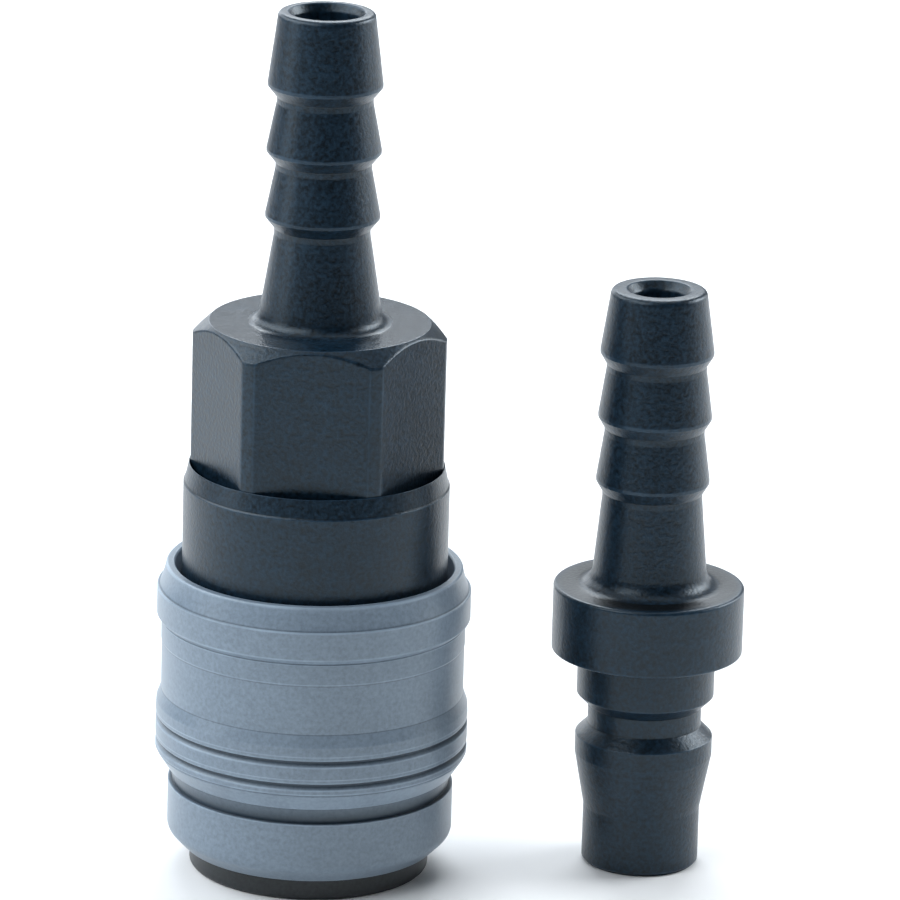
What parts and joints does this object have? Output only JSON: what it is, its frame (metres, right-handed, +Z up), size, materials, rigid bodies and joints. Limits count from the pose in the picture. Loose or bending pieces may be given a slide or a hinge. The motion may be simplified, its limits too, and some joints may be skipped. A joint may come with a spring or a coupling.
{
  "type": "quick disconnect coupling",
  "caption": "Plastic quick disconnect coupling for tubing: a valved socket with a sprung grip sleeve and ball lock, beside its grooved plug, both with barbed hose tails.",
  "frame": {"origin": "middle of the pair's footprint, on the surface that both halves stand on", "axes": "+Z up along both axes, from the mouth and the nose to the hose tails; +X from the socket towards the plug; +Y away from the side seen in the picture"},
  "size_m": [0.0496, 0.0266, 0.0742],
  "materials": {
    "body_plastic": "dark slate moulded plastic, satin, faint turning rings",
    "sleeve_plastic": "mid blue-grey moulded plastic, satin",
    "valve_plastic": "grey moulded plastic, smooth",
    "spring_steel": "drawn spring wire",
    "ball_steel": "ground and polished steel",
    "seal_rubber": "black sealing rubber"
  },
  "bodies": {
    "housing": {"main_body": "body_plastic", "hose_adapter": "body_plastic", "stop_ring": "body_plastic", "valve_guide": "valve_plastic", "nose_packing": "seal_rubber", "adapter_seal": "seal_rubber", "sleeve_spring": "spring_steel", "valve_spring": "spring_steel", "plug": "body_plastic"},
    "sleeve": {"sleeve": "sleeve_plastic"},
    "valve": {"valve_poppet": "valve_plastic", "valve_seal": "seal_rubber"},
    "ball_1": {"lock_ball_1": "ball_steel"},
    "ball_2": {"lock_ball_2": "ball_steel"},
    "ball_3": {"lock_ball_3": "ball_steel"},
    "ball_4": {"lock_ball_4": "ball_steel"},
    "ball_5": {"lock_ball_5": "ball_steel"},
    "ball_6": {"lock_ball_6": "ball_steel"}
  },
  "joints": [
    {"name": "sleeve_slide", "type": "slide", "parent": "housing", "child": "sleeve", "axis": [0, 0, 1], "range_m": [0, 0.0027], "stiffness_N_per_m": 300, "springref_m": -0.015, "deforming": ["sleeve_spring"]},
    {"name": "valve_slide", "type": "slide", "parent": "housing", "child": "valve", "axis": [0, 0, 1], "range_m": [0, 0.0036], "stiffness_N_per_m": 650, "springref_m": -0.004, "deforming": ["valve_spring"]},
    {"name": "ball_1_slide", "type": "slide", "parent": "housing", "child": "ball_1", "axis": [1, 0, 0], "range_m": [0, 0.00103]},
    {"name": "ball_2_slide", "type": "slide", "parent": "housing", "child": "ball_2", "axis": [0.5, 0.866, 0], "range_m": [0, 0.00103]},
    {"name": "ball_3_slide", "type": "slide", "parent": "housing", "child": "ball_3", "axis": [-0.5, 0.866, 0], "range_m": [0, 0.00103]},
    {"name": "ball_4_slide", "type": "slide", "parent": "housing", "child": "ball_4", "axis": [-1, 0, 0], "range_m": [0, 0.00103]},
    {"name": "ball_5_slide", "type": "slide", "parent": "housing", "child": "ball_5", "axis": [-0.5, -0.866, 0], "range_m": [0, 0.00103]},
    {"name": "ball_6_slide", "type": "slide", "parent": "housing", "child": "ball_6", "axis": [0.5, -0.866, 0], "range_m": [0, 0.00103]}
  ],
  "couplings": [
    {"joint": "ball_1_slide", "follows": "sleeve_slide", "ratio": 0.38148},
    {"joint": "ball_2_slide", "follows": "sleeve_slide", "ratio": 0.38148},
    {"joint": "ball_3_slide", "follows": "sleeve_slide", "ratio": 0.38148},
    {"joint": "ball_4_slide", "follows": "sleeve_slide", "ratio": 0.38148},
    {"joint": "ball_5_slide", "follows": "sleeve_slide", "ratio": 0.38148},
    {"joint": "ball_6_slide", "follows": "sleeve_slide", "ratio": 0.38148}
  ]
}
